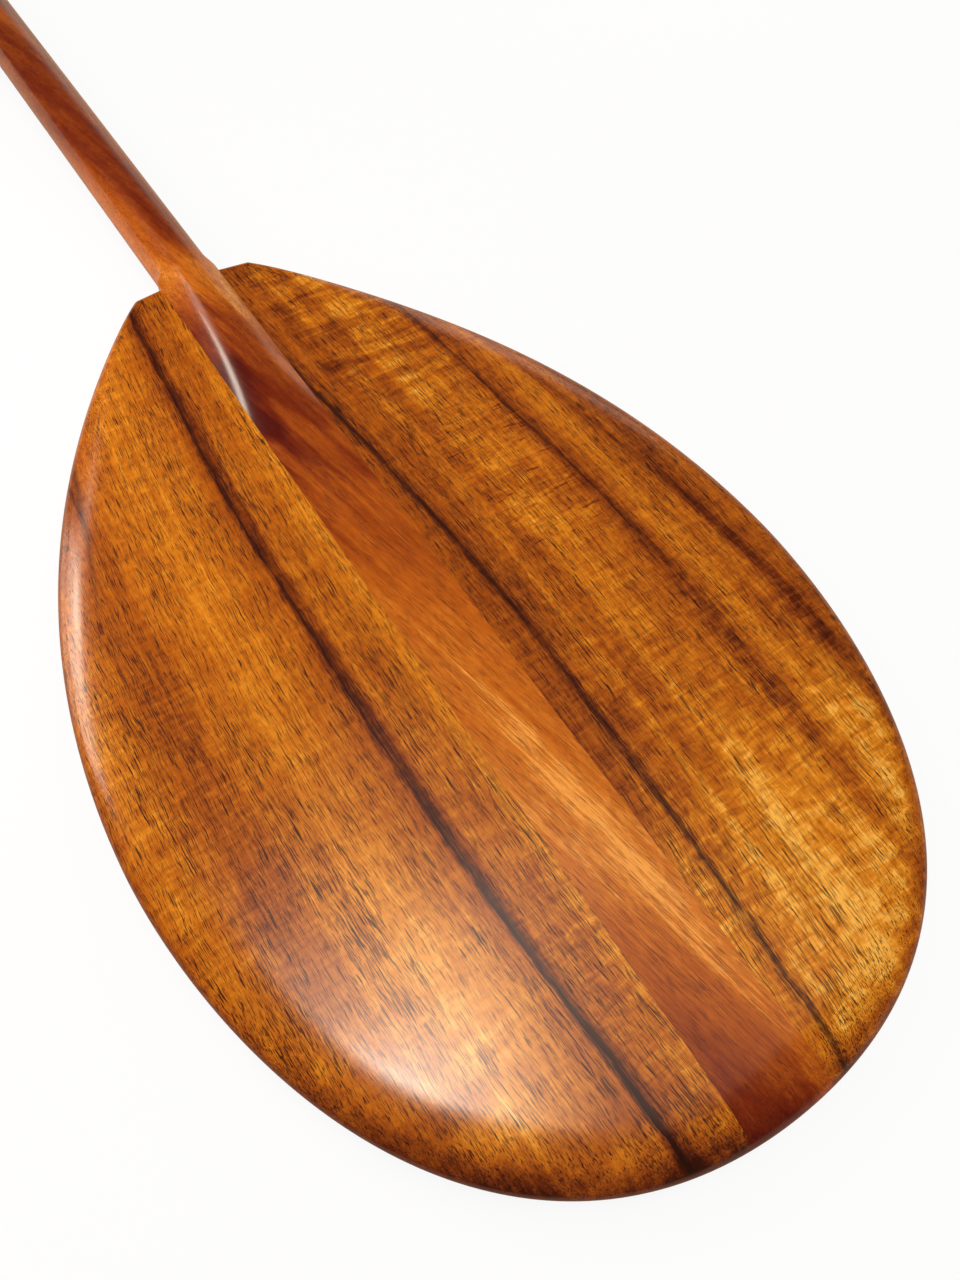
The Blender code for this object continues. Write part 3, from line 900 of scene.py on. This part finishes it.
main_soft = streak(tree, grain, *MAIN_STREAK_SHADE)
tone = darker(tree, tone, main_soft, 0.25)
main_line = streak(tree, grain, *MAIN_STREAK)
main_line = times(tree, main_line, breaks(tree, grain, *MAIN_STREAK_BREAKS))
wide_line = streak(tree, grain, *WIDE_STREAK)
wide_line = times(tree, wide_line, between(tree, along, *WIDE_STREAK_ALONG))
edge_at = calc(tree, "MULTIPLY_ADD", along, EDGE_STREAK_SLOPE, EDGE_STREAK_FOOT)
edge_line = streak(tree, grain, edge_at, *EDGE_STREAK_SOFT)
edge_line = times(tree, edge_line, between(tree, along, *EDGE_STREAK_ALONG))
dark = calc(tree, "MAXIMUM", main_line, times(tree, wide_line, 0.95))
dark = calc(tree, "MAXIMUM", dark, times(tree, edge_line, 0.5))

flecks = noise(tree, grain, (110.0, 430.0, 100.0), 3.0, 0.65)
fleck_zone = times(tree, zone(tree, across, *FLECKS_ACROSS), zone(tree, along, *FLECKS_ALONG))
tone = vary(tree, tone, flecks, calc(tree, "MULTIPLY_ADD", fleck_zone, 0.35, 0.12))
second_at = between(tree, along, *SECOND_STREAK_DRIFT)
second_line = streak(tree, grain, second_at, *SECOND_STREAK_SOFT)
second_line = times(tree, second_line, zone(tree, along, *SECOND_STREAK_ALONG))
tone = darker(tree, tone, second_line, 0.17)
thin_line = streak(tree, grain, *THIN_STREAK)
thin_line = times(tree, thin_line, between(tree, along, *THIN_STREAK_ALONG))
tone = darker(tree, tone, thin_line, 0.16)
# Painted sheen: the wood is made paler in an oval around the hot spot low on the left board, where the
# ceiling light's reflection falls.
tone = paler(tree, tone, patch(tree, grain, *PAINTED_SHEEN_PATCH), 0.14)
tone = darker(tree, tone, patch(tree, grain, *DARK_PATCH), 0.15)
tone = darker(tree, tone, patch(tree, grain, *TIP_PATCH), 0.20)

pore_amount = calc(tree, "MULTIPLY_ADD", main_soft, 0.05, between(tree, along, *LEFT_PORES))
finish_koa(tree, shader, place, grain, tone, dark, pore_amount)
left_board.data.materials.append(left_koa)
hand_over(left_board, "left_blade_board")


# The right board is curly: soft bars cross its grain, most of all near the neck. It is browner,
# with a thin heartwood streak close to the spine, a second in its middle and a broad one outside.
RIGHT_BANDS = [
    (0.0, 0.38),
    (0.10, 0.41),
    (0.17, 0.44),
    (0.205, 0.58),
    (0.25, 0.50),
    (0.30, 0.66),
    (0.34, 0.68),
    (0.39, 0.60),
    (0.45, 0.56),
    (0.50, 0.50),
    (0.545, 0.40),
    (0.58, 0.52),
    (0.625, 0.62),
    (0.67, 0.54),
    (0.72, 0.54),
    (0.765, 0.36),
    (0.80, 0.41),
    (0.85, 0.50),
    (1.0, 0.46),
]
UPPER_CURL_ALONG = (0.32, 0.40)
UPPER_CURL_ACROSS = (0.018, 0.030, 0.080, 0.092)
MIDDLE_CURL_ALONG = (0.23, 0.25, 0.34, 0.36)
MIDDLE_CURL_ACROSS = (0.035, 0.045, 0.080, 0.090)
DASH_PEAKS = (0.60, 0.70)
LOWER_HALF = (0.27, 0.12)
GOLDEN_TIP = (0.17, 0.06)
INNER_STREAK_DRIFT = (0.19, 0.43, 0.0152, 0.0080)
INNER_STREAK_SOFT = (0.0027, 0.0018)
INNER_SHADE_SOFT = (0.006, 0.006)
MIDDLE_STREAK_DRIFT = (0.20, 0.42, 0.0905, 0.0830)
MIDDLE_STREAK_SOFT = (0.0016, 0.0014)
MIDDLE_STREAK_ALONG = (0.19, 0.26)
MIDDLE_SHADE_SOFT = (0.0075, 0.0045)
MIDDLE_SHADE_ALONG = (0.06, 0.20)
OUTER_SHADE_DRIFT = (0.14, 0.42, 0.1305, 0.1065)
OUTER_SHADE_SOFT = (0.006, 0.004)
OUTER_SHADE_ALONG = (0.09, 0.16)
STREAK_BREAKS = (0.35, 0.60, 0.40, 0.90)
SWIRL = ((0.028, 0.402), (0.012, 0.006))
BROWN_PATCH = ((0.088, 0.100), (0.018, 0.075))
RIGHT_PORES = 0.088

right_koa, tree, shader, place, grain, across, along, tone = koa("varnished_right_koa", 1, RIGHT_BANDS)
curl = use_group(tree, curl_group, {"Grain": grain})
upper_curl = times(tree, between(tree, along, *UPPER_CURL_ALONG), zone(tree, across, *UPPER_CURL_ACROSS))
middle_curl = times(tree, zone(tree, along, *MIDDLE_CURL_ALONG), zone(tree, across, *MIDDLE_CURL_ACROSS))
figure = calc(tree, "ADD", calc(tree, "MAXIMUM", upper_curl, times(tree, middle_curl, 0.7)), 0.2)
tone = vary(tree, tone, curl["Broad"], times(tree, figure, 0.3))
dashes = between(tree, noise(tree, grain, (75.0, 480.0, 75.0), 2.0), *DASH_PEAKS)
tone = darker(tree, tone, times(tree, dashes, middle_curl), 0.32)
lower_half = between(tree, along, *LOWER_HALF)
tone = vary(tree, tone, curl["Close"], calc(tree, "MULTIPLY_ADD", lower_half, 0.45, 0.3))
golden = noise(tree, grain, (70.0, 16.0, 60.0), 3.0, 0.6)
tone = vary(tree, tone, golden, times(tree, lower_half, 0.6))
tone = paler(tree, tone, between(tree, along, *GOLDEN_TIP), 0.31)

inner_at = between(tree, along, *INNER_STREAK_DRIFT)
inner_line = streak(tree, grain, inner_at, *INNER_STREAK_SOFT)
inner_soft = streak(tree, grain, inner_at, *INNER_SHADE_SOFT)
tone = darker(tree, tone, inner_soft, 0.14)
middle_at = between(tree, along, *MIDDLE_STREAK_DRIFT)
middle_line = streak(tree, grain, middle_at, *MIDDLE_STREAK_SOFT)
middle_line = times(tree, middle_line, between(tree, along, *MIDDLE_STREAK_ALONG))
middle_soft = streak(tree, grain, middle_at, *MIDDLE_SHADE_SOFT)
middle_soft = times(tree, middle_soft, between(tree, along, *MIDDLE_SHADE_ALONG))
tone = darker(tree, tone, middle_soft, 0.14)
outer_at = between(tree, along, *OUTER_SHADE_DRIFT)
outer_soft = streak(tree, grain, outer_at, *OUTER_SHADE_SOFT)
outer_soft = times(tree, outer_soft, between(tree, along, *OUTER_SHADE_ALONG))
tone = darker(tree, tone, outer_soft, 0.20)
dark = calc(tree, "MAXIMUM", inner_line, times(tree, middle_line, 0.8))
dark = times(tree, dark, breaks(tree, grain, *STREAK_BREAKS))

tone = darker(tree, tone, patch(tree, grain, *SWIRL), 0.16)
blotch = noise(tree, grain, (90.0, 60.0, 60.0), 3.0, 0.6)
brown = times(tree, patch(tree, grain, *BROWN_PATCH), blotch)
tone = darker(tree, tone, brown, 0.25)

pore_amount = calc(tree, "MULTIPLY_ADD", inner_soft, 0.04, RIGHT_PORES)
finish_koa(tree, shader, place, grain, tone, dark, pore_amount)
right_board.data.materials.append(right_koa)
hand_over(right_board, "right_blade_board")


# The crossbar is a turned bar of the stave's hardwood, straight in the middle and drawn in to
# a rounded knob at each end. A blind mortise from below takes the stave's tenon.
GRIP_LENGTH = 0.124
GRIP_STRAIGHT_LENGTH = 0.060
GRIP_END_RADIUS = 0.0125
GRIP_END_ROUNDING = 0.007
TAPER_ROWS = 12
KNOB_ROWS = 12
FACES_ENDWAYS = 0.9
GRIP_PORES = 0.05


def grip_profile():
    """Half of the bar as (distance from its middle, radius), from its straight part to its end."""
    straight_end = GRIP_STRAIGHT_LENGTH / 2.0
    knob_start = GRIP_LENGTH / 2.0 - GRIP_END_ROUNDING
    profile = [(straight_end, GRIP_RADIUS)]
    for i in range(1, TAPER_ROWS + 1):
        radius = lerp(GRIP_RADIUS, GRIP_END_RADIUS, eased(i, 0, TAPER_ROWS))
        profile.append((lerp(straight_end, knob_start, i / TAPER_ROWS), radius))
    for i in range(1, KNOB_ROWS):
        angle = math.pi / 2.0 * i / KNOB_ROWS
        radius = GRIP_END_RADIUS * math.cos(angle)
        profile.append((knob_start + GRIP_END_ROUNDING * math.sin(angle), radius))
    return profile


def draw_out_end(bar, side):
    """Extrude one end of the bar ring by ring, each scaled about the bar's axis, to a small flat."""
    bpy.ops.object.mode_set(mode="EDIT")
    bpy.ops.mesh.select_mode(type="FACE")
    bpy.ops.mesh.select_all(action="DESELECT")
    bpy.ops.object.mode_set(mode="OBJECT")
    for face in bar.data.polygons:
        face.select = face.normal.x * side > FACES_ENDWAYS
    bpy.ops.object.mode_set(mode="EDIT")
    axis = in_frame(crossbar_centre)
    profile = grip_profile()
    for (start, start_radius), (end, radius) in zip(profile, profile[1:]):
        step = (side * (end - start), 0.0, 0.0)
        share = radius / start_radius
        bpy.ops.mesh.extrude_region_move(TRANSFORM_OT_translate={"value": step})
        bpy.ops.transform.resize(value=(1.0, share, share), center_override=axis)
    bpy.ops.object.mode_set(mode="OBJECT")


crossbar = rod("crossbar", GRIP_RADIUS, GRIP_STRAIGHT_LENGTH, crossbar_centre, ALONG_X)
bpy.ops.object.transform_apply(location=True, rotation=True, scale=True)
draw_out_end(crossbar, 1)
draw_out_end(crossbar, -1)
mortise_tool = rod("mortise", TENON_RADIUS + JOINT_GAP, tenon_length + JOINT_GAP, tenon_centre, ALONG_Y)
cut_with(crossbar, mortise_tool)
cut_with(crossbar, rod("peg_hole", PEG_RADIUS + JOINT_GAP, hole_length, crossbar_centre, ALONG_Z))

grip_wood, tree, shader, place = varnished("varnished_red_crossbar")
across, along, z = add_node(tree, "SeparateXYZ", {0: place}).outputs
grain = add_node(tree, "CombineXYZ", {0: along, 1: across, 2: z}).outputs[0]
pores = use_group(tree, pores_group, {"Grain": grain, "Amount": GRIP_PORES})
ribbons = noise(tree, grain, (75.0, 7.0, 75.0), 3.0, 0.55)
tone = vary(tree, vary(tree, 0.46, ribbons, 2.2), pores["Fibre"], 0.6)
finish_red_wood(tree, shader, tone, pores)
crossbar.data.materials.append(grip_wood)
hand_over(crossbar, "grip_crossbar")


# The peg is a short dowel of dark hardwood, driven through the crossbar and its tenon. It is
# trimmed and sanded flush with the bar, so its two ends show as dark rounds of end grain.
PEG_TONES = [
    (0.0, (34, 12, 6)),
    (0.5, (84, 36, 14)),
    (1.0, (140, 72, 30)),
]
PEG_PORES = (0.6, 0.7)

peg = rod("peg", PEG_RADIUS, hole_length, crossbar_centre, ALONG_Z)
flush_tool = rod("flush", GRIP_RADIUS - JOINT_GAP, 2.0 * GRIP_RADIUS, crossbar_centre, ALONG_X)
cut_with(peg, flush_tool, "INTERSECT")

peg_wood, tree, shader, place = varnished("varnished_peg_end_grain")
specks = noise(tree, place, (1800.0, 1800.0, 90.0), 2.0, 0.6)
rings = noise(tree, place, (500.0, 700.0, 30.0), 2.0)
tone = vary(tree, times(tree, rings, 0.5), specks, 0.4)
color = wood_tones(tree, tone, PEG_TONES)
finish_varnish(tree, shader, color, between(tree, specks, *PEG_PORES), rings)
peg.data.materials.append(peg_wood)
hand_over(peg, "grip_peg")


# The table is a wide white sheet, bright enough to read as the plain white ground of the view,
# and it keeps the paddle's soft shadow. The varnish mirrors it in a duller and warmer tone.
TABLE_SIZE = 14.0
TABLE_WHITE = (0.86, 0.86, 0.86, 1.0)
TABLE_IN_GLOSS = (0.62, 0.42, 0.30, 1.0)
TABLE_ROUGHNESS = 0.9
TABLE_GLOW = 0.9

bpy.ops.object.select_all(action="DESELECT")
bpy.ops.mesh.primitive_plane_add(size=TABLE_SIZE, location=(0.0, 0.0, TIP.z - JOINT_GAP))
table = bpy.context.object
table.name = "table"
sheet = bpy.data.materials.new("white_sheet")
sheet.use_nodes = True
tree = sheet.node_tree
paper = tree.nodes["Principled BSDF"]
path = add_node(tree, "LightPath").outputs
color = mixed(tree, path["Is Glossy Ray"], TABLE_WHITE, TABLE_IN_GLOSS)
tree.links.new(color, paper.inputs["Base Color"])
paper.inputs["Roughness"].default_value = TABLE_ROUGHNESS
paper.inputs["Specular IOR Level"].default_value = 0.0
glow = add_node(tree, "Emission", {"Color": (1.0, 1.0, 1.0, 1.0), "Strength": 1.0})
share = times(tree, path["Is Camera Ray"], TABLE_GLOW)
ground = add_node(tree, "MixShader", {0: share, 1: paper.outputs[0], 2: glow.outputs[0]})
tree.links.new(ground.outputs[0], tree.nodes["Material Output"].inputs["Surface"])
table.data.materials.append(sheet)


# The light is a plain pale room that looks white to the camera. The varnish mirrors it in warm
# tones: walls that glow only low down and higher on the right, a ceiling light as the hot spot
# low on the left, and windows and pale cards as the sheen along the blade's two edges.
WARM_LIGHT = (1.0, 0.86, 0.72)
ROOM_LIGHT = 0.62
WALL_GLOSS = 0.65
CEILING_GLOSS = 0.012
WALL_FOOT = 0.03
WALL_TOP = 0.06
RIGHT_WALL_RISE = 0.34
RIGHT_WALL_SPAN = (-0.2, 0.2, 0.64, 0.74)

world = bpy.data.worlds.new("pale_room")
bpy.context.scene.world = world
world.use_nodes = True
tree = world.node_tree
background = tree.nodes["Background"]
path = add_node(tree, "LightPath").outputs
direction = add_node(tree, "TexCoord").outputs["Generated"]
right, _, up = add_node(tree, "SeparateXYZ", {0: direction}).outputs
right_wall = zone(tree, right, *RIGHT_WALL_SPAN)
wall_top = calc(tree, "MULTIPLY_ADD", right_wall, RIGHT_WALL_RISE, WALL_TOP)
gloss_level = between(tree, up, wall_top, WALL_FOOT, CEILING_GLOSS, WALL_GLOSS)
level = blended(tree, path["Is Glossy Ray"], ROOM_LIGHT, gloss_level)
white_rays = calc(tree, "MAXIMUM", path["Is Camera Ray"], path["Is Transmission Ray"])
level = blended(tree, white_rays, level, 1.0)
tree.links.new(level, background.inputs["Strength"])
tint = mixed(tree, path["Is Glossy Ray"], (1.0, 1.0, 1.0, 1.0), (*WARM_LIGHT, 1.0))
tree.links.new(tint, background.inputs["Color"])


def lamp(name, place, target, width, length, radiance):
    """A warm rectangular lamp that faces its target, as bright all over as its radiance says."""
    bpy.ops.object.light_add(type="AREA", location=place)
    light = bpy.context.object
    light.name = name
    light.rotation_euler = (Vector(target) - Vector(place)).to_track_quat("-Z", "Y").to_euler()
    light.data.shape = "RECTANGLE"
    light.data.size = width
    light.data.size_y = length
    light.data.energy = radiance * width * length * math.pi
    light.data.color = WARM_LIGHT


HOT_SPOT = (-0.088, -0.690, 0.023)
EDGE_SHEEN = (-0.070, -0.380, 0.020)
lamp("ceiling_lamp", (-0.030, -0.470, 1.620), HOT_SPOT, 0.50, 0.50, 3.0)
lamp("ceiling_shade", (0.050, -0.440, 1.630), HOT_SPOT, 0.70, 0.66, 0.8)
lamp("ceiling_bulb", (-0.050, -0.550, 1.600), HOT_SPOT, 0.34, 0.24, 8.0)
lamp("ceiling_glow", (0.240, -0.500, 1.640), HOT_SPOT, 1.20, 0.76, 0.5)
lamp("side_window", (-0.715, 0.696, 1.026), EDGE_SHEEN, 0.36, 0.17, 7.5)
lamp("window_edge", (-0.443, 0.835, 1.026), EDGE_SHEEN, 0.36, 0.17, 3.2)
lamp("window_gap", (-0.650, 0.670, 1.010), EDGE_SHEEN, 0.16, 0.15, 9.0)
lamp("ceiling_core", (-0.110, -0.535, 1.590), HOT_SPOT, 0.20, 0.14, 18.0)
lamp("low_window", (-0.420, -0.180, 0.290), (-0.150, -0.490, 0.020), 0.16, 0.16, 6.0)
lamp("side_card", (-0.319, -0.093, 0.260), (-0.140, -0.430, 0.020), 0.16, 0.13, 5.0)
lamp("edge_card", (-0.350, -0.160, 0.095), (-0.140, -0.430, 0.018), 0.22, 0.12, 2.5)
lamp("right_wall", (0.550, -0.040, 0.206), (0.150, -0.460, 0.020), 0.36, 0.18, 0.9)


# The camera is where the phone was held: above the blade's lower left edge, turned to the right
# and tilted down, with a phone's usual wide lens.
IMAGE_WIDTH = 960.0
FOCAL_LENGTH = 961.0
SENSOR_WIDTH = 36.0
NEAREST = 0.01
CAMERA_PLACE = (-0.1292, -0.7187, 0.3840)
TURNED_RIGHT = math.radians(37.789)
TILTED_DOWN = math.radians(58.379)
ROLLED = math.radians(5.180)

bpy.ops.object.camera_add(location=CAMERA_PLACE)
camera = bpy.context.object
camera.data.sensor_fit = "HORIZONTAL"
camera.data.sensor_width = SENSOR_WIDTH
camera.data.lens = SENSOR_WIDTH * FOCAL_LENGTH / IMAGE_WIDTH
camera.data.clip_start = NEAREST
aim = Matrix.Rotation(-TURNED_RIGHT, 4, "Z") @ Matrix.Rotation(math.pi / 2.0 - TILTED_DOWN, 4, "X")
camera.rotation_euler = (aim @ Matrix.Rotation(ROLLED, 4, "Z")).to_euler()
bpy.context.scene.camera = camera
bpy.context.scene.view_settings.view_transform = "Standard"
